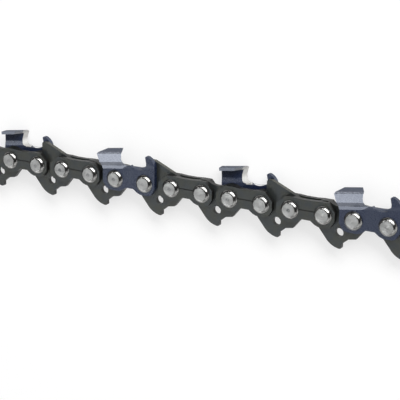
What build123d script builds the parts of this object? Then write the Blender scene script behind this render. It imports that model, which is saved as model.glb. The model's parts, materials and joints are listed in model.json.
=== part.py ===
"""Saw chain, an open straight stretch: drive links, tie straps, cutters and rivets.

The chain lies on its side. X runs along the chain in its cutting direction, Y points from the tangs of the
drive links to the cutters, and Z is up, along the rivets. All sizes are in millimetres.
"""
from build123d import *
import math
import os

# Layout: two pitches make one cell of the chain, a pair of side links and the drive link that follows it
PITCH = 9.32
LINK_SPACING = 8.80
PAIRS = "abcdefg"
UPPER_CUTTERS = "cg"
LOWER_CUTTERS = "ae"

# Sheet thicknesses and running clearances
GAUGE = 1.30
STRAP_THICKNESS = 1.30
SIDE_CLEARANCE = 0.06
PIVOT_CLEARANCE = 0.05

# Rivet
SHANK_RADIUS = 1.90
HEAD_RADIUS = 2.65
HEAD_HEIGHT = 0.90

# Drive link: heel, sole and toe are measured from its rear pivot, the step from its front pivot
LINK_LOBE = 3.85
LINK_WAIST = 2.75
WAIST_ANGLE = 65.0
TANG_DEPTH = 9.00
HEEL_X = 0.40
HEEL_RISE = 2.45
SOLE_X = 4.35
SOLE_RADIUS = 6.00
TOE_X = 5.12
TOE_RADIUS = 0.45
TOE_RISE = 1.40
STEP_FRONT_X = 0.50
STEP_LENGTH = 2.20
STEP_RISE = 3.05
STEP_SLOPE = 0.40
OIL_HOLE_RADIUS = 1.20
OIL_HOLE_DROP = 4.40

# Bumper ramp on every second drive link
BUMPER_BACK_X = 1.05
BUMPER_TOP = 6.95
BUMPER_CORNER = 0.40
BUMPER_CREST_X = 2.60
BUMPER_FOOT_ANGLE = 64.0

# Tie strap, and the lower body that a cutter shares with it
END_GAP = 1.30
END_SHIFT = 0.35
END_FLAT = 1.30
STRAP_TOP = 3.65
STRAP_WAIST = 3.48
STRAP_SHOULDER = 1.30
WAIST_HALF = 1.60
FOOT_DROP = 3.50
FOOT_HALF = 1.30
FOOT_CORNER_X = 2.63
FOOT_CORNER_DROP = 3.10
ARCH_DROP = 2.15
ARCH_HALF = 1.25
ARCH_FLARE = 1.30
ARCH_FOOT_DROP = 3.10
CREASE_RISE = 0.50
CREASE_HALF = 0.14
CREASE_DEPTH = 0.10

# Cutter plate: its bends run up to the front beside the rivets, at these distances from the rear rivet
BEND_SLOPE = 8.5
BEND_LOW = 3.02
BEND_MIDDLE = 3.93
BEND_HIGH = 5.19
LEAN_LOW = 13.0
LEAN_MIDDLE = 30.0
LEAN_HIGH = 15.0
SIDE_TOP = 7.74
CORNER_RISE = 0.43
CORNER_WIDTH = 0.60
TOP_TILT = 5.0
TOP_THICKNESS = 0.85
TOP_INNER_Z = -0.70
PLATE_REAR_X = -5.15
PLATE_REAR_SLANT = 0.115
PLATE_REAR_ANGLE = 16.0
PLATE_FOOT_X = 2.60
PLATE_FRONT_X = 4.20

# Gullet, cut by a round file across the front of the plate
FILE_RADIUS = 2.25
FILE_X = 5.33
FILE_Y = 7.14
FILE_Z = 2.85
FILE_ANGLE = 33.0
FILE_TILT = 12.0
HOOK_RISE = 1.15
HOOK_REACH = 1.10
HOOK_HEIGHT = 2.35

# Flat front of a cutter: nib, scoop, and depth gauge, which is measured from the front rivet
GULLET_FLOOR = 4.58
NIB_REAR_X = 4.75
NIB_X = 5.05
NIB_TOP = 4.84
NIB_FRONT_X = 5.56
SCOOP_FLOOR = 4.30
SCOOP_X = 7.80
SCOOP_FRONT_X = 8.00
SCOOP_HALF = 2.20
SCOOP_DEPTH = 0.45
SCOOP_ANGLE = 24.0
GAUGE_FOOT_X = -0.44
GAUGE_FOOT_Y = 4.60
GAUGE_WAIST_X = 0.62
GAUGE_WAIST_LOW = 5.30
GAUGE_WAIST_HIGH = 6.20
GAUGE_BACK_X = 0.28
GAUGE_BACK_Y = 7.85
GAUGE_TOP = 8.10
GAUGE_CROWN_REAR = 0.55
GAUGE_CROWN_FRONT = 1.15
GAUGE_FRONT_Y = 5.50
GAUGE_BULGE = 0.42

# Derived places
STRAP_SPACING = 2 * PITCH - LINK_SPACING
REAR_REACH = (LINK_SPACING - END_GAP) / 2 + END_SHIFT
FRONT_REACH = (LINK_SPACING - END_GAP) / 2 - END_SHIFT
PIVOT_RADIUS = SHANK_RADIUS + PIVOT_CLEARANCE
STRAP_INNER_Z = GAUGE / 2 + SIDE_CLEARANCE
STRAP_OUTER_Z = STRAP_INNER_Z + STRAP_THICKNESS
HEAD_TOP_Z = STRAP_OUTER_Z + HEAD_HEIGHT
BEND_MIDDLE_Z = STRAP_OUTER_Z + (BEND_MIDDLE - BEND_LOW) * math.tan(math.radians(LEAN_LOW))
BEND_HIGH_Z = BEND_MIDDLE_Z + (BEND_HIGH - BEND_MIDDLE) * math.tan(math.radians(LEAN_MIDDLE))
SIDE_TOP_Z = BEND_HIGH_Z + (SIDE_TOP - BEND_HIGH) * math.tan(math.radians(LEAN_HIGH))
ACROSS = 4 * STRAP_OUTER_Z


def on_circle(centre_x, radius, degrees):
    """A point of a circle whose centre is on the pivot line."""
    angle = math.radians(degrees)
    return (centre_x + radius * math.cos(angle), radius * math.sin(angle))


def tangent_point(point, centre_x, radius, side):
    """Where a line from a point touches a circle on the pivot line; side picks one of the two touches."""
    away_x = point[0] - centre_x
    reach = math.hypot(away_x, point[1])
    angle = math.atan2(point[1], away_x) + side * math.acos(radius / reach)
    return (centre_x + radius * math.cos(angle), radius * math.sin(angle))


def tang_edges(heel, start, step_front, end):
    """The guide tang: a long heel, a rounded sole, a hooked toe and the step below the front pivot."""
    sole = (SOLE_X, -TANG_DEPTH)
    toe_start = (TOE_X - TOE_RADIUS, -TANG_DEPTH)
    toe_end = (TOE_X, TOE_RADIUS - TANG_DEPTH)
    toe_middle = (TOE_X - TOE_RADIUS * (1 - math.sqrt(0.5)), TOE_RADIUS * (1 - math.sqrt(0.5)) - TANG_DEPTH)
    hook = (TOE_X, TOE_RISE - TANG_DEPTH)
    step_rear = (step_front[0] - STEP_LENGTH, step_front[1] - STEP_SLOPE)
    return [
        Line(start, heel),
        RadiusArc(heel, sole, -SOLE_RADIUS),
        Line(sole, toe_start),
        ThreePointArc(toe_start, toe_middle, toe_end),
        Polyline(toe_end, hook, step_rear, step_front, end),
    ]


def plain_top_edges(front, rear):
    """Upper edge of a plain drive link: a shallow waist between its two round ends."""
    waist_front = on_circle(LINK_SPACING, LINK_LOBE, 180 - WAIST_ANGLE)
    waist_rear = on_circle(0, LINK_LOBE, WAIST_ANGLE)
    return [
        RadiusArc(front, waist_front, -LINK_LOBE),
        ThreePointArc(waist_front, (LINK_SPACING / 2, LINK_WAIST), waist_rear),
        RadiusArc(waist_rear, rear, -LINK_LOBE),
    ]


def bumper_top_edges(front, rear):
    """Upper edge of a bumper drive link: a straight ramp that falls away in the cutting direction."""
    ramp_foot = on_circle(LINK_SPACING, LINK_LOBE, BUMPER_FOOT_ANGLE)
    crest = (BUMPER_CREST_X, BUMPER_TOP)
    corner = (BUMPER_BACK_X + BUMPER_CORNER, BUMPER_TOP)
    shoulder = (BUMPER_BACK_X, BUMPER_TOP - BUMPER_CORNER)
    back_foot = (BUMPER_BACK_X, math.sqrt(LINK_LOBE ** 2 - BUMPER_BACK_X ** 2))
    return [
        RadiusArc(front, ramp_foot, -LINK_LOBE),
        Polyline(ramp_foot, crest, corner, shoulder, back_foot),
        RadiusArc(back_foot, rear, -LINK_LOBE),
    ]


def drive_link(bumper):
    """One drive link, its rear pivot at the origin and its middle plane at Z = 0."""
    heel = (HEEL_X, HEEL_RISE - TANG_DEPTH)
    rear = tangent_point(heel, 0, LINK_LOBE, -1)
    step_front = (LINK_SPACING + STEP_FRONT_X, STEP_RISE + STEP_SLOPE - TANG_DEPTH)
    front = tangent_point(step_front, LINK_SPACING, LINK_LOBE, 1)
    top_edges = bumper_top_edges if bumper else plain_top_edges
    outline = make_face(tang_edges(heel, rear, step_front, front) + top_edges(front, rear))
    pivot_holes = [Pos(x, 0) * Circle(PIVOT_RADIUS) for x in (0, LINK_SPACING)]
    oil_hole = Pos(LINK_SPACING / 2, -OIL_HOLE_DROP) * Circle(OIL_HOLE_RADIUS)
    return extrude(outline - pivot_holes - oil_hole, GAUGE / 2, both=True)


def foot_points():
    """Lower edge of straps and cutters, front to rear: a foot under each rivet and an arch between."""
    middle = STRAP_SPACING / 2
    front_foot = [
        (STRAP_SPACING + FOOT_HALF, -FOOT_DROP),
        (STRAP_SPACING - FOOT_HALF, -FOOT_DROP),
        (middle + ARCH_HALF + ARCH_FLARE, -ARCH_FOOT_DROP),
        (middle + ARCH_HALF, -ARCH_DROP),
    ]
    rear_foot = [(STRAP_SPACING - x, y) for x, y in reversed(front_foot)]
    front_end = [
        (STRAP_SPACING + FRONT_REACH, -END_FLAT),
        (STRAP_SPACING + FOOT_CORNER_X - END_SHIFT, -FOOT_CORNER_DROP),
    ]
    rear_end = [(-FOOT_CORNER_X - END_SHIFT, -FOOT_CORNER_DROP), (-REAR_REACH, -END_FLAT)]
    return front_end + front_foot + rear_foot + rear_end


def rivet_holes():
    """The two round holes that a side link is riveted through."""
    return [Pos(x, 0) * Circle(SHANK_RADIUS) for x in (0, STRAP_SPACING)]


def crease():
    """The shallow line that is pressed into a tie strap's outer face, from one rivet head to the other."""
    plane = Plane(origin=(HEAD_RADIUS, CREASE_RISE, STRAP_OUTER_Z), x_dir=(0, 1, 0), z_dir=(1, 0, 0))
    notch = Polyline((-CREASE_HALF, 0), (0, -CREASE_DEPTH), (CREASE_HALF, 0), close=True)
    return extrude(plane * make_face(notch), STRAP_SPACING - 2 * HEAD_RADIUS)


def tie_strap():
    """One tie strap on the upper side, its rear rivet hole on the Z axis: chamfered ends, waisted top."""
    rear_top = [
        (-STRAP_SHOULDER, STRAP_TOP),
        (STRAP_SHOULDER, STRAP_TOP),
        (STRAP_SPACING / 2 - WAIST_HALF, STRAP_WAIST),
    ]
    front_top = [(STRAP_SPACING - x, y) for x, y in reversed(rear_top)]
    rear_end = (-REAR_REACH, END_FLAT)
    front_end = (STRAP_SPACING + FRONT_REACH, END_FLAT)
    outline = make_face(Polyline(rear_end, *rear_top, *front_top, front_end, *foot_points(), close=True))
    return Pos(0, 0, STRAP_INNER_Z) * extrude(outline - rivet_holes(), STRAP_THICKNESS) - crease()


def bend_point(x, distance):
    """The point at the given X on a line along a cutter's bends, at a distance from its rear rivet."""
    slope = math.radians(BEND_SLOPE)
    return (x, (distance + x * math.sin(slope)) / math.cos(slope))


def cutter_body():
    """The flat part of a cutter: its foot up to the lowest bend, and the nib, scoop and depth gauge."""
    gauge_start = (STRAP_SPACING + GAUGE_CROWN_FRONT, GAUGE_TOP)
    gauge_end = (STRAP_SPACING + FRONT_REACH, GAUGE_FRONT_Y)
    upper_points = [
        bend_point(-REAR_REACH, BEND_LOW),
        bend_point(PLATE_FOOT_X, BEND_LOW),
        (PLATE_FRONT_X, GULLET_FLOOR),
        (NIB_REAR_X, GULLET_FLOOR),
        (NIB_X, NIB_TOP),
        (NIB_FRONT_X, SCOOP_FLOOR),
        (SCOOP_FRONT_X, SCOOP_FLOOR),
        (STRAP_SPACING + GAUGE_FOOT_X, GAUGE_FOOT_Y),
        (STRAP_SPACING + GAUGE_WAIST_X, GAUGE_WAIST_LOW),
        (STRAP_SPACING + GAUGE_WAIST_X, GAUGE_WAIST_HIGH),
        (STRAP_SPACING + GAUGE_BACK_X, GAUGE_BACK_Y),
        (STRAP_SPACING + GAUGE_CROWN_REAR, GAUGE_TOP),
        gauge_start,
    ]
    outline = make_face([
        Polyline(gauge_end, *foot_points(), *upper_points),
        SagittaArc(gauge_start, gauge_end, GAUGE_BULGE),
    ])
    return Pos(0, 0, STRAP_INNER_Z) * extrude(outline - rivet_holes(), STRAP_THICKNESS)


def plate_section():
    """Cross-section of the bent plate: distances from the rear rivet across the bends, and Z."""
    outer = [
        (BEND_LOW, STRAP_OUTER_Z),
        (BEND_MIDDLE, BEND_MIDDLE_Z),
        (BEND_HIGH, BEND_HIGH_Z),
        (SIDE_TOP, SIDE_TOP_Z),
        (SIDE_TOP + CORNER_RISE, SIDE_TOP_Z - CORNER_WIDTH),
    ]
    tilt = math.tan(math.radians(TOP_TILT))
    lean = math.tan(math.radians(LEAN_HIGH))
    top_at_zero = outer[-1][0] + outer[-1][1] * tilt
    inner_top = (top_at_zero - TOP_INNER_Z * tilt, TOP_INNER_Z)
    under = (inner_top[0] - TOP_THICKNESS, TOP_INNER_Z)
    side_at_zero = BEND_HIGH_Z - STRAP_THICKNESS - BEND_HIGH * lean
    inner_corner = (top_at_zero - TOP_THICKNESS - side_at_zero * tilt) / (1 + tilt * lean)
    inner_bend = (inner_corner, side_at_zero + inner_corner * lean)
    inner = [(across, z - STRAP_THICKNESS) for across, z in reversed(outer[:3])]
    return outer + [inner_top, under, inner_bend] + inner


def cutter_plate():
    """The plate above a cutter's lowest bend: it leans out, then folds in over the chain as the top plate."""
    slope = math.radians(BEND_SLOPE)
    along = Vector(math.cos(slope), math.sin(slope), 0)
    across = Vector(-math.sin(slope), math.cos(slope), 0)
    plane = Plane(origin=(0, 0, 0), x_dir=across, z_dir=along)
    plate = extrude(plane * make_face(Polyline(*plate_section(), close=True)), 2 * STRAP_SPACING, both=True)
    rear_normal = Vector(1, 0, math.tan(math.radians(PLATE_REAR_ANGLE))) + across * PLATE_REAR_SLANT
    rear_edge = (*bend_point(PLATE_REAR_X, SIDE_TOP), SIDE_TOP_Z)
    plate = split(plate, Plane(origin=rear_edge, z_dir=rear_normal), keep=Keep.TOP)
    foot_x, foot_y = bend_point(PLATE_FOOT_X, BEND_LOW)
    foot_normal = (GULLET_FLOOR - foot_y, foot_x - PLATE_FRONT_X, 0)
    plate = split(plate, Plane(origin=(foot_x, foot_y, 0), z_dir=foot_normal), keep=Keep.BOTTOM)
    return split(plate, Plane(origin=(PLATE_FRONT_X, 0, 0), z_dir=(1, 0, 0)), keep=Keep.BOTTOM)


def gullet():
    """What the file takes out of a cutter's front: a round floor and a straight face that hooks forward."""
    turn = math.radians(FILE_ANGLE)
    tilt = math.radians(FILE_TILT)
    plane = Plane(
        origin=(FILE_X, FILE_Y, FILE_Z),
        x_dir=(math.cos(turn), 0, -math.sin(turn)),
        z_dir=(math.sin(turn) * math.cos(tilt), math.sin(tilt), math.cos(turn) * math.cos(tilt)),
    )
    hook_start = (-FILE_RADIUS, HOOK_RISE)
    hook_end = (HOOK_REACH - FILE_RADIUS, HOOK_RISE + HOOK_HEIGHT)
    profile = make_face([
        ThreePointArc((-FILE_RADIUS, 0), (0, -FILE_RADIUS), (FILE_RADIUS, 0)),
        Polyline((-FILE_RADIUS, 0), hook_start, hook_end, (FILE_RADIUS, hook_end[1]), (FILE_RADIUS, 0)),
    ])
    return extrude(plane * profile, ACROSS, both=True)


def scoop():
    """The shallow hollow that is ground into a cutter's outer edge between its nib and its depth gauge."""
    turn = math.radians(SCOOP_ANGLE)
    plane = Plane(
        origin=(SCOOP_X, SCOOP_FLOOR, STRAP_INNER_Z),
        x_dir=(1, 0, 0),
        z_dir=(0, -math.sin(turn), math.cos(turn)),
    )
    rear, front = (-SCOOP_HALF, SCOOP_DEPTH), (SCOOP_HALF, SCOOP_DEPTH)
    hollow = make_face([ThreePointArc(rear, (0, 0), front), Line(front, rear)])
    return extrude(plane * hollow, ACROSS)


def cutter():
    """One cutter on the upper side, its rear rivet hole on the Z axis."""
    return cutter_body() - scoop() + cutter_plate() - gullet()


def rivet():
    """One rivet on the Z axis: the shank that the drive link turns on, with a flat head at each end."""
    upper_half = [
        (SHANK_RADIUS, STRAP_OUTER_Z),
        (HEAD_RADIUS, STRAP_OUTER_Z),
        (HEAD_RADIUS, HEAD_TOP_Z),
        (0, HEAD_TOP_Z),
    ]
    lower_half = [(radius, -z) for radius, z in reversed(upper_half)]
    return revolve(Plane.XZ * make_face(Polyline(*upper_half, *lower_half, close=True)), Axis.Z)


def lower(piece):
    """The same side link on the lower side of the chain."""
    return mirror(piece, about=Plane.XY)


def chain():
    """Every piece of the stretch by name, the rear rivet of the first pair on the Z axis."""
    cell = 2 * PITCH
    plain_link = drive_link(bumper=False)
    bumper_link = drive_link(bumper=True)
    strap = tie_strap()
    tooth = cutter()
    pin = rivet()
    pieces = {}
    for number in range(len(PAIRS) + 1):
        link = bumper_link if number % 2 else plain_link
        pieces[f"drive_link_{number}"] = Pos(number * cell - LINK_SPACING, 0) * link
    for number, pair in enumerate(PAIRS):
        place = Pos(number * cell, 0)
        upper_kind = "cutter" if pair in UPPER_CUTTERS else "tie_strap"
        lower_kind = "cutter" if pair in LOWER_CUTTERS else "tie_strap"
        side_links = {"cutter": tooth, "tie_strap": strap}
        pieces[f"{upper_kind}_{pair}_upper"] = place * side_links[upper_kind]
        pieces[f"{lower_kind}_{pair}_lower"] = place * lower(side_links[lower_kind])
        pieces[f"rivet_{pair}_rear"] = place * pin
        pieces[f"rivet_{pair}_front"] = place * Pos(STRAP_SPACING, 0) * pin
    return pieces


pieces = chain()
box = Compound(children=[Part(piece.wrapped) for piece in pieces.values()]).bounding_box()
to_origin = Pos(-box.center().X, -box.center().Y, -box.min.Z)
os.makedirs("parts", exist_ok=True)
for name, piece in pieces.items():
    export_step(to_origin * piece, f"parts/{name}.step")
print("first rivet", tuple(to_origin.position), "strap", STRAP_SPACING, "link", LINK_SPACING)
print("size", box.size)
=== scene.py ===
import json
import math

import bmesh
import bpy
from mathutils import Matrix, Vector


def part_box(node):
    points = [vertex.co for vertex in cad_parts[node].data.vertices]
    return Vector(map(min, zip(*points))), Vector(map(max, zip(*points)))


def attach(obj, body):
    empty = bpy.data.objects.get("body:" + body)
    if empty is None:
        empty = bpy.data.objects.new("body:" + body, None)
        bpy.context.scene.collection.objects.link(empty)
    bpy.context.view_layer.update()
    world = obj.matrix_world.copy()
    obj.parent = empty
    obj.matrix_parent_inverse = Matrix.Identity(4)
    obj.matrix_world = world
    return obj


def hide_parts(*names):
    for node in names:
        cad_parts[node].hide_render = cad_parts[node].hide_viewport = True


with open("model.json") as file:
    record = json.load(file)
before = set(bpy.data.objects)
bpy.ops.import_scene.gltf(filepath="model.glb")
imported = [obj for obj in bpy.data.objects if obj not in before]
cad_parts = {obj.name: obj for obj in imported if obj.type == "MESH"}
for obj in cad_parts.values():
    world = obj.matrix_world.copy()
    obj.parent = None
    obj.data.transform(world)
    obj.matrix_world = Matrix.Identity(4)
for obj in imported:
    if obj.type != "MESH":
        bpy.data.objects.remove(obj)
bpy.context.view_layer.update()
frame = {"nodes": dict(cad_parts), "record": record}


# Drive links: thin plates stamped from cold rolled strip and dipped in a hot black oxide bath.
# The die shears their narrow edges, which are rougher than the flat sides and coloured near black, which is
# painted shade.
# On the upward edges of the bumper ramps, pale grains are partly rubbed bare and partly a painted highlight
# from the light above. Tumbling takes the burr off every corner.
MM = 0.001
TOP_SIDE = (0, 1, 0)
LINK_CORNER = 0.09 * MM
CORNER_ANGLE = math.radians(28)
CORNER_STEPS = 2
FLAT_ANGLE = math.radians(1)
OXIDE_COOL = (0.020, 0.026, 0.029, 1.0)
OXIDE_WARM = (0.027, 0.030, 0.024, 1.0)
OXIDE_METAL = 0.35
OXIDE_IOR = 1.65
OXIDE_ROUGHNESS = (0.36, 0.54)
OXIDE_CLOUD = 3.0 * MM
OXIDE_CLOUD_RANGE = (0.38, 0.62)
OXIDE_GRAIN = 0.22 * MM
OXIDE_GRAIN_DEPTH = 0.012 * MM
CLOUD_DETAIL = 3.0
GRAIN_DETAIL = 4.0
GRAIN_RANGE = (0.3, 0.7)
MOTTLE_ROUGHNESS = 0.6
SIDE_FACING = (0.35, 0.8)
# Near black on the sheared edges and hole walls: painted shade.
EDGE_PAINTED_SHADE = (0.010, 0.010, 0.009, 1.0)
# Pale grains on the upward ramp edges: partly wear, partly a painted highlight from the light above.
RAMP_WEAR_AND_HIGHLIGHT = (0.130, 0.130, 0.100, 1.0)
RAMP_FACING = (0.3, 0.6)
RAMP_FROM = 4.2 * MM
RAMP_BLEND = 0.5 * MM
PALE_GRAIN = (0.42, 0.66)


def solids(kind):
    """The chain's solids of one kind, by name."""
    return {name: frame["nodes"][name] for name in sorted(frame["nodes"]) if name.startswith(kind)}


def add_node(material, kind, inputs=None, **settings):
    """Adds a shader node, makes its settings, and fills each input with a value or a link."""
    node = material.node_tree.nodes.new(kind)
    for name, value in settings.items():
        setattr(node, name, value)
    for name, value in (inputs or {}).items():
        if isinstance(value, bpy.types.NodeSocket):
            material.node_tree.links.new(value, node.inputs[name])
        else:
            node.inputs[name].default_value = value
    return node


def new_finish(name, **sockets):
    """A new material, with constant values for the named sockets of its shader."""
    material = bpy.data.materials.new(name)
    material.use_nodes = True
    shader = material.node_tree.nodes["Principled BSDF"]
    for socket, value in sockets.items():
        shader.inputs[socket.replace("_", " ")].default_value = value
    return material


def connect(material, **sockets):
    """Links the outputs of nodes to the named sockets of a material's shader."""
    shader = material.node_tree.nodes["Principled BSDF"]
    for socket, output in sockets.items():
        material.node_tree.links.new(output, shader.inputs[socket.replace("_", " ")])


def resting_place(material):
    """The place of a point on its piece as the chain lies at rest."""
    return add_node(material, "ShaderNodeTexCoord").outputs["Object"]


def resting_facing(material):
    """The way that a face looks as the chain lies at rest."""
    return add_node(material, "ShaderNodeTexCoord").outputs["Normal"]


def reach_toward(material, vector, direction):
    """How far a vector reaches in a direction."""
    inputs = {0: vector, 1: direction}
    return add_node(material, "ShaderNodeVectorMath", inputs, operation="DOT_PRODUCT").outputs["Value"]


def mottle(material, size, detail):
    """Cloudy patches between 0 and 1, about the given size in metres."""
    place = resting_place(material)
    inputs = {"Vector": place, "Scale": 1 / size, "Detail": detail, "Roughness": MOTTLE_ROUGHNESS}
    return add_node(material, "ShaderNodeTexNoise", inputs).outputs["Fac"]


def graded(material, value, start, end, first=0.0, last=1.0):
    """Runs evenly from first to last while a value goes from start to end, and stays level outside."""
    inputs = {"Value": value, "From Min": start, "From Max": end, "To Min": first, "To Max": last}
    return add_node(material, "ShaderNodeMapRange", inputs).outputs["Result"]


def tinted(material, share, first, second):
    """Goes from the first colour to the second as share goes from 0 to 1."""
    mix = add_node(material, "ShaderNodeMix", {0: share, 6: first, 7: second}, data_type="RGBA")
    return mix.outputs[2]


def reckon(material, operation, *values):
    """One step of arithmetic on values or outputs."""
    return add_node(material, "ShaderNodeMath", dict(enumerate(values)), operation=operation).outputs[0]


def all_of(material, *shares):
    """The product of shares, which is 1 only where each of them is."""
    product = shares[0]
    for share in shares[1:]:
        product = reckon(material, "MULTIPLY", product, share)
    return product


def uneven(material, height, depth):
    """A surface normal for small unevenness of the given depth."""
    inputs = {"Height": height, "Strength": 1.0, "Distance": depth}
    return add_node(material, "ShaderNodeBump", inputs).outputs["Normal"]


def plate_flatness(material):
    """1 on the flat sides of a plate, whose faces look along Z, and 0 on its sheared edges."""
    normal = add_node(material, "ShaderNodeNewGeometry").outputs["Normal"]
    upright = add_node(material, "ShaderNodeSeparateXYZ", {"Vector": normal}).outputs["Z"]
    return reckon(material, "ABSOLUTE", upright)


def black_oxide(name):
    """Black oxide on strip: grainy, clouded from bluish to greenish, with painted shade on the sheared
    edges and pale grains on the ramps' upward edges, partly wear and partly painted highlight.
    """
    material = new_finish(name, Metallic=OXIDE_METAL, IOR=OXIDE_IOR)
    cloud = graded(material, mottle(material, OXIDE_CLOUD, CLOUD_DETAIL), *OXIDE_CLOUD_RANGE)
    grain = mottle(material, OXIDE_GRAIN, GRAIN_DETAIL)
    side = tinted(material, cloud, OXIDE_COOL, OXIDE_WARM)
    upward = graded(material, reach_toward(material, resting_facing(material), TOP_SIDE), *RAMP_FACING)
    height = reach_toward(material, resting_place(material), TOP_SIDE)
    on_ramp = graded(material, height, RAMP_FROM, RAMP_FROM + RAMP_BLEND)
    # Pale grains where the ramp edges face upward: partly rubbing wear, partly painted highlight.
    rubbed_and_lit = all_of(material, graded(material, grain, *PALE_GRAIN), upward, on_ramp)
    # The sheared edges are near black, which is painted shade, except for the pale grains on the ramps.
    shaded_and_lit_edges = tinted(material, rubbed_and_lit, EDGE_PAINTED_SHADE, RAMP_WEAR_AND_HIGHLIGHT)
    flatness = graded(material, plate_flatness(material), *SIDE_FACING)
    connect(
        material,
        Base_Color=tinted(material, flatness, shaded_and_lit_edges, side),
        Roughness=graded(material, grain, *GRAIN_RANGE, *OXIDE_ROUGHNESS),
        Normal=uneven(material, grain, OXIDE_GRAIN_DEPTH),
    )
    return material


def coat(solid, *finishes):
    """Gives a solid its finish, and a second one for its corners, in place of the plain one it has."""
    solid.data.materials.clear()
    for finish in finishes:
        solid.data.materials.append(finish)


def tumble(solid, corner):
    """Merges the flat facets of a solid and rounds its corners by a small radius, in its last finish."""
    merge = solid.modifiers.new("merge_flats", "DECIMATE")
    merge.decimate_type = "DISSOLVE"
    merge.angle_limit = FLAT_ANGLE
    bevel = solid.modifiers.new("tumbled_corners", "BEVEL")
    bevel.limit_method = "ANGLE"
    bevel.angle_limit = CORNER_ANGLE
    bevel.width = corner
    bevel.segments = CORNER_STEPS
    bevel.use_clamp_overlap = False
    bevel.material = len(solid.data.materials) - 1


link_oxide = black_oxide("black_oxide_links")
for link in solids("drive_link").values():
    coat(link, link_oxide)
    tumble(link, LINK_CORNER)


# Tie straps: the plain outer plates that close each pair of rivets on the side with no cutter.
# They are stamped and blackened like the links, with one shallow crease pressed between the rivets,
# which is coloured near black and dulled along its line as painted shade, and their corners are worn down
# to the steel.
STRAP_CORNER = 0.13 * MM
WORN_COLOUR = (0.22, 0.22, 0.205, 1.0)
WORN_METAL = 0.8
WORN_ROUGHNESS = 0.36
CHAIN_AXIS = (1, 0, 0)
FIRST_RIVET = "rivet_a_rear"
PAIR_SPACING = 18.64 * MM
CREASE_RISE = 0.50 * MM
CREASE_HALF = 0.16 * MM
CREASE_EDGE = 0.10 * MM
CREASE_START = 2.65 * MM
CREASE_END = 7.19 * MM
# Near black along the crease between the rivets: painted shade, where the groove's shadow falls.
CREASE_PAINTED_SHADE = (0.003, 0.003, 0.003, 1.0)
CREASE_ROUGHNESS = 0.9


def middle_of(name):
    """The middle of a solid's box."""
    low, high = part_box(name)
    return (low + high) / 2


def place_from(material, start):
    """The place of a point at rest, counted from another point."""
    inputs = {0: resting_place(material), 1: start}
    return add_node(material, "ShaderNodeVectorMath", inputs, operation="SUBTRACT").outputs[0]


def blended(material, share, first, second):
    """Goes from the first number to the second as share goes from 0 to 1."""
    return add_node(material, "ShaderNodeMix", {0: share, 2: first, 3: second}).outputs[0]


def in_crease(material):
    """1 along the crease between a strap's two rivets, and 0 elsewhere."""
    from_first = place_from(material, middle_of(FIRST_RIVET))
    rise = reckon(material, "SUBTRACT", reach_toward(material, from_first, TOP_SIDE), CREASE_RISE)
    off_line = reckon(material, "ABSOLUTE", rise)
    near = graded(material, off_line, CREASE_HALF + CREASE_EDGE, CREASE_HALF - CREASE_EDGE)
    along = reckon(material, "FLOORED_MODULO", reach_toward(material, from_first, CHAIN_AXIS), PAIR_SPACING)
    started = reckon(material, "GREATER_THAN", along, CREASE_START)
    unended = reckon(material, "LESS_THAN", along, CREASE_END)
    return all_of(material, near, started, unended)


def paint_crease_shade(material, share):
    """Darkens a finish with painted shade and dulls it, as far as the share goes."""
    shader = material.node_tree.nodes["Principled BSDF"]
    unshaded_colour = shader.inputs["Base Color"].links[0].from_socket
    unshaded_roughness = shader.inputs["Roughness"].links[0].from_socket
    connect(
        material,
        Base_Color=tinted(material, share, unshaded_colour, CREASE_PAINTED_SHADE),
        Roughness=blended(material, share, unshaded_roughness, CREASE_ROUGHNESS),
    )


strap_oxide = black_oxide("black_oxide_straps")
# The crease between each strap's rivets gets a near-black line of painted shade.
paint_crease_shade(strap_oxide, in_crease(strap_oxide))
worn_corners = new_finish(
    "worn_corners", Base_Color=WORN_COLOUR, Metallic=WORN_METAL, Roughness=WORN_ROUGHNESS)
for strap in solids("tie_strap").values():
    coat(strap, strap_oxide, worn_corners)
    tumble(strap, STRAP_CORNER)


# Cutters: chromed and blued steel, folded into a side plate and a top plate over the drive links.
# A round file cuts the gullet behind the depth gauge, which leaves a bare bright face along its path,
# and the top plate is duller than the sides. Its corner facets are lighter in grains, partly wear and
# partly a painted highlight, and the inner end of the top plate is lighter as a painted reflection.
CUTTER_CORNER = 0.10 * MM
RIVET_AXIS = (0, 0, 1)
BLUED_DEEP = (0.008, 0.014, 0.040, 1.0)
BLUED_GREY = (0.015, 0.022, 0.046, 1.0)
BLUED_IOR = 1.78
BLUED_TINT = (0.82, 0.88, 1.0, 1.0)
BLUED_ROUGHNESS = (0.24, 0.34)
BLUED_CLOUD = 5.0 * MM
BLUED_CLOUD_RANGE = (0.35, 0.65)
BLUED_GRAIN = 0.30 * MM
BLUED_GRAIN_DEPTH = 0.004 * MM
BEND_SLOPE = math.radians(8.5)
BEND_LOW = 3.02 * MM
BEND_LOW_BLEND = 0.05 * MM
BEND_MIDDLE = 3.93 * MM
BEND_MIDDLE_BLEND = (0.05 * MM, -0.25 * MM)
PRESSED_ROUGHNESS = 0.38
TOP_SLATE = (0.030, 0.036, 0.056, 1.0)
# Lighter grains on the top plate's corner facets: partly wear, partly painted highlight.
TOP_WEAR_AND_HIGHLIGHT = (0.20, 0.212, 0.245, 1.0)
TOP_ROUGHNESS = 0.85
TOP_FACING = (0.62, 0.74)
TOP_FROM = -0.70 * MM
TOP_FRONT = 6.0 * MM
CORNER_FACING = (0.3, 0.5)
WORN_GRAIN = (0.4, 0.6)
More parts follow.
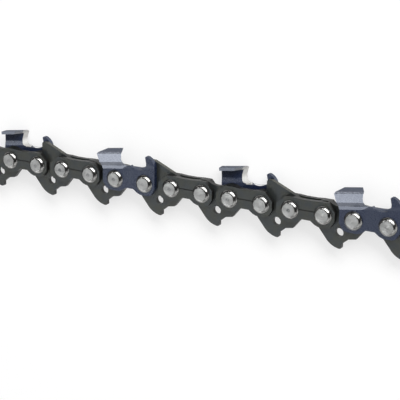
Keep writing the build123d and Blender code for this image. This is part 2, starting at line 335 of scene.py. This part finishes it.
# Lighter colour on the top plate's inner end: painted reflection.
TOP_END_REFLECTION = (0.15, 0.165, 0.20, 1.0)
TOP_END_FACING = (0.5, 0.8)
TOP_END_HALF = 1.00 * MM
FILED_COLOUR = (0.50, 0.492, 0.472, 1.0)
FILED_EDGE_COLOUR = (0.22, 0.23, 0.25, 1.0)
FILED_METAL = 0.25
FILED_ROUGHNESS = 0.55
FILED_FROM = {"upper": -0.80, "lower": -1.10}
FILED_EDGE_HALF = 1.70 * MM
FILE_RADIUS = 2.25 * MM
FILE_MARGIN = 0.02 * MM
FILE_FROM_RIVET = Vector((5.33 * MM, 7.14 * MM, 2.85 * MM))
FILE_TURN = math.radians(33)
FILE_TILT = math.radians(12)
HOOK_RISE = 1.15 * MM
HOOK_LEAN = 1.10 / 2.35


def file_path(cutter):
    """The middle of the file's stroke on a cutter, and the ways across the stroke and up from it."""
    pair, side = cutter.split("_")[1:]
    mirror = Vector((1, 1, 1 if side == "upper" else -1))
    across = Vector((math.cos(FILE_TURN), 0, -math.sin(FILE_TURN)))
    lift = math.sin(FILE_TILT)
    up = Vector((-math.sin(FILE_TURN) * lift, math.cos(FILE_TILT), -math.cos(FILE_TURN) * lift))
    stroke = middle_of(f"rivet_{pair}_rear") + FILE_FROM_RIVET * mirror
    return stroke, across * mirror, up * mirror


def root_of_rest(material, radius, leg):
    """The other leg of a right triangle whose long side is the radius."""
    rest = reckon(material, "SUBTRACT", radius ** 2, reckon(material, "MULTIPLY", leg, leg))
    return reckon(material, "SQRT", rest)


def filed_face(material, stroke, across, up, lowest):
    """1 on the face that the file has bared, from its lowest part up to the hook, and 0 elsewhere."""
    from_stroke = place_from(material, stroke)
    along = reach_toward(material, from_stroke, across)
    rise = reach_toward(material, from_stroke, up)
    floor_reach = root_of_rest(material, FILE_RADIUS, reckon(material, "MINIMUM", rise, 0.0))
    hook_rise = reckon(material, "MAXIMUM", reckon(material, "SUBTRACT", rise, HOOK_RISE), 0.0)
    hook_reach = reckon(material, "MULTIPLY", hook_rise, HOOK_LEAN)
    clear = reckon(material, "SUBTRACT", reckon(material, "ADD", along, floor_reach), hook_reach)
    behind = reckon(material, "GREATER_THAN", clear, -FILE_MARGIN)
    before = reckon(material, "LESS_THAN", along, FILE_RADIUS)
    above = reckon(material, "GREATER_THAN", rise, lowest * FILE_RADIUS)
    return all_of(material, behind, before, above)


def pressed_bend(material, from_rivet):
    """1 on the strip that the press has bent outwards below the side plate, and 0 elsewhere."""
    rise = reach_toward(material, from_rivet, (-math.sin(BEND_SLOPE), math.cos(BEND_SLOPE), 0))
    started = graded(material, rise, BEND_LOW - BEND_LOW_BLEND, BEND_LOW + BEND_LOW_BLEND)
    unended = graded(material, rise, *(BEND_MIDDLE + blend for blend in BEND_MIDDLE_BLEND))
    return all_of(material, started, unended)


def blued_steel(name, stroke, across, up):
    """Smooth blued plating, cloudy and semi-gloss, duller on the top plate, with the filed face bare,
    lighter top plate corners that are partly wear and partly painted highlight, and a painted reflection on
    the top plate's inner end.
    """
    material = new_finish(name, IOR=BLUED_IOR, Specular_Tint=BLUED_TINT)
    cloud = graded(material, mottle(material, BLUED_CLOUD, CLOUD_DETAIL), *BLUED_CLOUD_RANGE)
    grain = mottle(material, BLUED_GRAIN, GRAIN_DETAIL)
    facing = resting_facing(material)
    upward = reach_toward(material, facing, TOP_SIDE)
    sideways = reckon(material, "ABSOLUTE", reach_toward(material, facing, RIVET_AXIS))
    place = resting_place(material)
    from_rivet = place_from(material, stroke - FILE_FROM_RIVET)
    raised = reckon(material, "GREATER_THAN", reach_toward(material, place, TOP_SIDE), stroke.y + TOP_FROM)
    from_middle = reckon(
        material, "SUBTRACT", reach_toward(material, place, RIVET_AXIS), middle_of(FIRST_RIVET).z)
    off_middle = reckon(material, "ABSOLUTE", from_middle)

    top = all_of(material, graded(material, upward, *TOP_FACING), raised)
    # Top plate corner facets, facing partly sideways, lighter in grains: partly wear, partly painted
    # highlight.
    wear_and_highlight = all_of(
        material, graded(material, sideways, *CORNER_FACING), graded(material, grain, *WORN_GRAIN))
    inward = reckon(material, "LESS_THAN", off_middle, TOP_END_HALF)
    rearward = reckon(material, "LESS_THAN", reach_toward(material, from_rivet, CHAIN_AXIS), TOP_FRONT)
    top_end = all_of(material, inward, rearward, raised, graded(material, sideways, *TOP_END_FACING))
    plating = tinted(material, cloud, BLUED_DEEP, BLUED_GREY)
    plating = tinted(material, top, plating, tinted(material, wear_and_highlight, TOP_SLATE, TOP_WEAR_AND_HIGHLIGHT))
    # The inner end of the top plate is coloured lighter: a painted reflection.
    plating = tinted(material, top_end, plating, TOP_END_REFLECTION)

    filed = filed_face(material, stroke, across, up, FILED_FROM[name.split("_")[-1]])
    filed_edge = all_of(material, reckon(material, "LESS_THAN", off_middle, FILED_EDGE_HALF), raised)
    bared = tinted(material, filed_edge, FILED_COLOUR, FILED_EDGE_COLOUR)

    roughness = graded(material, grain, *GRAIN_RANGE, *BLUED_ROUGHNESS)
    roughness = blended(material, pressed_bend(material, from_rivet), roughness, PRESSED_ROUGHNESS)
    roughness = blended(material, top, roughness, TOP_ROUGHNESS)
    connect(
        material,
        Base_Color=tinted(material, filed, plating, bared),
        Metallic=reckon(material, "MULTIPLY", filed, FILED_METAL),
        Roughness=blended(material, filed, roughness, FILED_ROUGHNESS),
        Normal=uneven(material, grain, BLUED_GRAIN_DEPTH),
    )
    return material


for name, cutter in solids("cutter").items():
    coat(cutter, blued_steel("blued_" + name, *file_path(name)))
    tumble(cutter, CUTTER_CORNER)


# Rivets: bright steel pins that pass through the links and are spun into a flat head at both ends.
# Spinning leaves a rolled rim, faint rings on the face and a small pit where the tool was centred.
SHANK_RADIUS = 1.90 * MM
HEAD_HEIGHT = 0.90 * MM
RIM_WIDTH = 0.80 * MM
RIM_START = math.radians(30)
RIM_END = math.radians(60)
SHARP_EDGE = math.radians(20)
PIT_RADIUS = 0.60 * MM
PIT_DEPTH = 0.03 * MM
UNDERCUT = 0.05 * MM
CURVE_STEPS = 8
RIVET_SEGMENTS = 72
WELD_DISTANCE = 0.001 * MM
FACE_COLOUR = (0.365, 0.37, 0.366, 1.0)
FACE_BLEND = 0.08 * MM
FACE_ROUGHNESS = 0.40
FACE_RELIEF = 0.02 * MM
SMUDGE_SIZE = 1.2 * MM
SMUDGE_RANGE = (0.35, 0.65)
SMUDGE_CLEAN = (0.85, 1.0)
RIM_COLOUR = (0.25, 0.249, 0.243, 1.0)
RIM_ROUGHNESS = 0.20
DENT_SIZE = 0.25 * MM
RIM_DENT_SHARE = 0.45
RING_WIDTH = 0.10 * MM
RING_TURN = 6.28
RING_WANDER = 0.5
RING_SHARE = 0.15
PIT_COLOUR = (0.075, 0.08, 0.09, 1.0)
PIT_CHANCE = (0.25, 0.75)
PIT_FADE = (PIT_RADIUS * 1.2, PIT_RADIUS * 0.5)
PIT_DENTS = (0.35, 0.6)

scene = bpy.context.scene


def head_section(radius, half_length):
    """Half the rivet's section, from the pit in the upper face down to the shank: radius and height."""
    section = []
    for step in range(CURVE_STEPS // 2 + 1):
        share = step / (CURVE_STEPS // 2)
        section.append((PIT_RADIUS * share, half_length - PIT_DEPTH * (1 + math.cos(math.pi * share)) / 2))
    curve = RIM_WIDTH / (math.sin(RIM_END) - math.sin(RIM_START))
    for step in range(CURVE_STEPS + 1):
        turn = RIM_START + (RIM_END - RIM_START) * step / CURVE_STEPS
        reach = radius - curve * (math.sin(RIM_END) - math.sin(turn))
        section.append((reach, half_length - curve * (math.cos(RIM_START) - math.cos(turn))))
    underside = half_length - HEAD_HEIGHT
    section.append((radius, underside + UNDERCUT))
    section.append((radius - UNDERCUT, underside))
    section.append((SHANK_RADIUS, underside))
    return section


def spin(name, section):
    """Turns a closed half section about Z into a smooth mesh."""
    shape = bmesh.new()
    outline = [shape.verts.new((reach, 0, height)) for reach, height in section]
    for first, second in zip(outline, outline[1:]):
        shape.edges.new((first, second))
    bmesh.ops.spin(
        shape, geom=shape.verts[:] + shape.edges[:], axis=(0, 0, 1), cent=(0, 0, 0),
        angle=2 * math.pi, steps=RIVET_SEGMENTS, use_merge=True,
    )
    bmesh.ops.remove_doubles(shape, verts=shape.verts, dist=WELD_DISTANCE)
    bmesh.ops.recalc_face_normals(shape, faces=shape.faces)
    for face in shape.faces:
        face.smooth = True
    for edge in shape.edges:
        edge.smooth = edge.calc_face_angle(0) < SHARP_EDGE
    mesh = bpy.data.meshes.new(name)
    shape.to_mesh(mesh)
    shape.free()
    return mesh


def from_axis(material):
    """How far a point lies from the rivet's axis."""
    inputs = {0: resting_place(material), 1: (1, 1, 0)}
    flat_place = add_node(material, "ShaderNodeVectorMath", inputs, operation="MULTIPLY").outputs[0]
    return add_node(material, "ShaderNodeVectorMath", {0: flat_place}, operation="LENGTH").outputs["Value"]


def spun_steel(name, face_radius):
    """Bright steel with a matt ringed face, a polished rim and, on some heads, a dark centre pit."""
    material = new_finish(name, Metallic=1.0)
    reach = from_axis(material)
    face = graded(material, reach, face_radius, face_radius - FACE_BLEND)
    dents = mottle(material, DENT_SIZE, GRAIN_DETAIL)
    smudge = graded(material, mottle(material, SMUDGE_SIZE, CLOUD_DETAIL), *SMUDGE_RANGE, *SMUDGE_CLEAN)
    smudged = tinted(material, smudge, PIT_COLOUR, FACE_COLOUR)
    chance = add_node(material, "ShaderNodeObjectInfo").outputs["Random"]
    pitted = all_of(
        material,
        graded(material, reach, *PIT_FADE),
        graded(material, chance, *PIT_CHANCE),
        graded(material, dents, *PIT_DENTS),
    )
    turned = reckon(material, "DIVIDE", reach, RING_WIDTH / RING_TURN)
    wander = reckon(material, "MULTIPLY", dents, RING_WANDER)
    rings = reckon(material, "SINE", reckon(material, "ADD", turned, wander))
    ringed = all_of(material, rings, RING_SHARE, face)
    dented = all_of(material, dents, graded(material, face, 0.0, 1.0, RIM_DENT_SHARE, 1.0))
    relief = reckon(material, "ADD", ringed, dented)
    connect(
        material,
        Base_Color=tinted(material, face, RIM_COLOUR, tinted(material, pitted, smudged, PIT_COLOUR)),
        Roughness=graded(material, face, 0.0, 1.0, RIM_ROUGHNESS, FACE_ROUGHNESS),
        Normal=uneven(material, relief, FACE_RELIEF),
    )
    return material


rivet_low, rivet_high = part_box(FIRST_RIVET)
rivet_size = rivet_high - rivet_low
upper_half = head_section(rivet_size.x / 2, rivet_size.z / 2)
lower_half = [(reach, -height) for reach, height in reversed(upper_half)]
rivet_mesh = spin("spun_rivet", upper_half + lower_half)
rivet_mesh.materials.append(spun_steel("bright_spun_steel", rivet_size.x / 2 - RIM_WIDTH))
for body, members in frame["record"]["behaviour"]["bodies"].items():
    for name in members:
        if name.startswith("rivet"):
            rivet = bpy.data.objects.new("spun_" + name, rivet_mesh)
            rivet.location = middle_of(name)
            scene.collection.objects.link(rivet)
            bpy.context.view_layer.update()
            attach(rivet, body)
            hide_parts(name)


# Floor: a plain sheet of white paper that the chain lies on, which runs on out of the picture.
# What looks at it straight or in a reflection sees mostly its white, with the chain's soft shadow.
PAPER_HALF = 3.0
PAPER_COLOUR = (0.98, 0.98, 0.98, 1.0)
PAPER_WHITE_SHARE = 0.62
WHITE = (1, 1, 1, 1)

paper_mesh = bpy.data.meshes.new("white_paper")
paper_corners = [(x * PAPER_HALF, y * PAPER_HALF, 0) for x, y in ((-1, -1), (1, -1), (1, 1), (-1, 1))]
paper_mesh.from_pydata(paper_corners, [], [(0, 1, 2, 3)])
floor = bpy.data.objects.new("white_paper", paper_mesh)
scene.collection.objects.link(floor)
paper = bpy.data.materials.new("white_paper")
paper.use_nodes = True
paper.node_tree.nodes.clear()
rays = add_node(paper, "ShaderNodeLightPath").outputs
looked_at = reckon(paper, "MAXIMUM", rays["Is Camera Ray"], rays["Is Glossy Ray"])
looked_at = reckon(paper, "MAXIMUM", looked_at, rays["Is Transmission Ray"])
matt = add_node(paper, "ShaderNodeBsdfDiffuse", {"Color": PAPER_COLOUR})
white = add_node(paper, "ShaderNodeEmission", {"Color": WHITE, "Strength": 1.0})
white_share = reckon(paper, "MULTIPLY", looked_at, PAPER_WHITE_SHARE)
sheet = add_node(paper, "ShaderNodeMixShader", {0: white_share, 1: matt.outputs[0], 2: white.outputs[0]})
add_node(paper, "ShaderNodeOutputMaterial", {"Surface": sheet.outputs[0]})
floor.data.materials.append(paper)


# Lamps: a soft box above and behind the chain lights it and throws its shadow forward. Six cards show
# only in what shines: the side plates, the rivet rims, the near edges, the bends and the top plates.
# Each has its name, its direction and distance from the chain, its width and height, and its radiance.
SHADOW_BOX = ("shadow_box", (0.40, 0.72, 0.52), 2.0, 1.80, 0.75, 10.0)
CARDS = (
    ("side_card", (-0.39, -0.68, 0.61), 0.8, 0.60, 0.26, 7.0),
    ("low_card", (-0.46, -0.87, 0.16), 0.8, 0.55, 0.20, 1.8),
    ("front_card", (0.60, -0.66, 0.45), 0.8, 0.50, 0.40, 1.1),
    ("end_card", (0.95, -0.30, 0.12), 0.8, 0.50, 0.25, 1.6),
    ("bend_card", (-0.72, 0.47, 0.51), 0.8, 0.30, 0.12, 4.0),
    ("top_card", (-0.12, 0.80, 0.56), 1.2, 0.55, 0.16, 5.0),
)


def soft_box(name, direction, distance, width, height, radiance):
    """A rectangular lamp that faces the chain from the given direction."""
    lamp = bpy.data.lights.new(name, "AREA")
    lamp.shape = "RECTANGLE"
    lamp.size = width
    lamp.size_y = height
    lamp.energy = radiance * math.pi * width * height
    holder = bpy.data.objects.new(name, lamp)
    scene.collection.objects.link(holder)
    outward = Vector(direction).normalized()
    holder.location = outward * distance
    holder.rotation_euler = outward.to_track_quat("Z", "Y").to_euler()
    return holder


soft_box(*SHADOW_BOX)
for card in CARDS:
    soft_box(*card).visible_diffuse = False


# Room: plain walls around the table, even for matt surfaces and white for the camera.
# In what shines they fall off to dark away from the bright side, so that the steel has contrast.
ROOM_EVEN = 0.58
ROOM_WHITE = 1.0
ROOM_BRIGHT_SIDE = (-0.4, -0.9, 0.0)
ROOM_FALL = (0.05, 0.9)
ROOM_SHINE = (0.04, 0.8)

room = bpy.data.worlds.new("studio_room")
scene.world = room
room.use_nodes = True
room.node_tree.nodes.clear()
wall_place = add_node(room, "ShaderNodeTexCoord").outputs["Generated"]
falling_off = graded(room, reach_toward(room, wall_place, ROOM_BRIGHT_SIDE), *ROOM_FALL, *ROOM_SHINE)
rays = add_node(room, "ShaderNodeLightPath").outputs
on_chain = blended(room, rays["Is Glossy Ray"], ROOM_EVEN, falling_off)
strength = blended(room, rays["Is Camera Ray"], on_chain, ROOM_WHITE)
walls = add_node(room, "ShaderNodeBackground", {"Color": WHITE, "Strength": strength})
add_node(room, "ShaderNodeOutputWorld", {"Surface": walls.outputs[0]})


# Camera: looks down on the chain at the angle at which the photograph shows it.
# Its angles, distance and lens fit the rivet heads, tang holes and tang tips in the photograph.
CAMERA_TURN = math.radians(29.005)
CAMERA_RISE = math.radians(17.181)
CAMERA_ROLL = math.radians(0.871)
CAMERA_DISTANCE = 0.40105
CAMERA_LENS = 128.25
CAMERA_NEAREST = 0.01
AIM_FROM_RIVET = Vector((64.335 * MM, -2.539 * MM, 0))

back = Vector((
    math.sin(CAMERA_TURN) * math.cos(CAMERA_RISE),
    math.sin(CAMERA_RISE),
    math.cos(CAMERA_TURN) * math.cos(CAMERA_RISE),
))
level = Vector((math.cos(CAMERA_TURN), 0, -math.sin(CAMERA_TURN)))
plumb = back.cross(level)
right = math.cos(CAMERA_ROLL) * level + math.sin(CAMERA_ROLL) * plumb
up = math.cos(CAMERA_ROLL) * plumb - math.sin(CAMERA_ROLL) * level
camera = bpy.data.objects.new("camera", bpy.data.cameras.new("camera"))
scene.collection.objects.link(camera)
camera.data.lens = CAMERA_LENS
camera.data.clip_start = CAMERA_NEAREST
aim = middle_of(FIRST_RIVET) + AIM_FROM_RIVET
turn = Matrix((right, up, back)).transposed().to_4x4()
camera.matrix_world = Matrix.Translation(aim + back * CAMERA_DISTANCE) @ turn
scene.camera = camera
scene.view_settings.view_transform = "Standard"
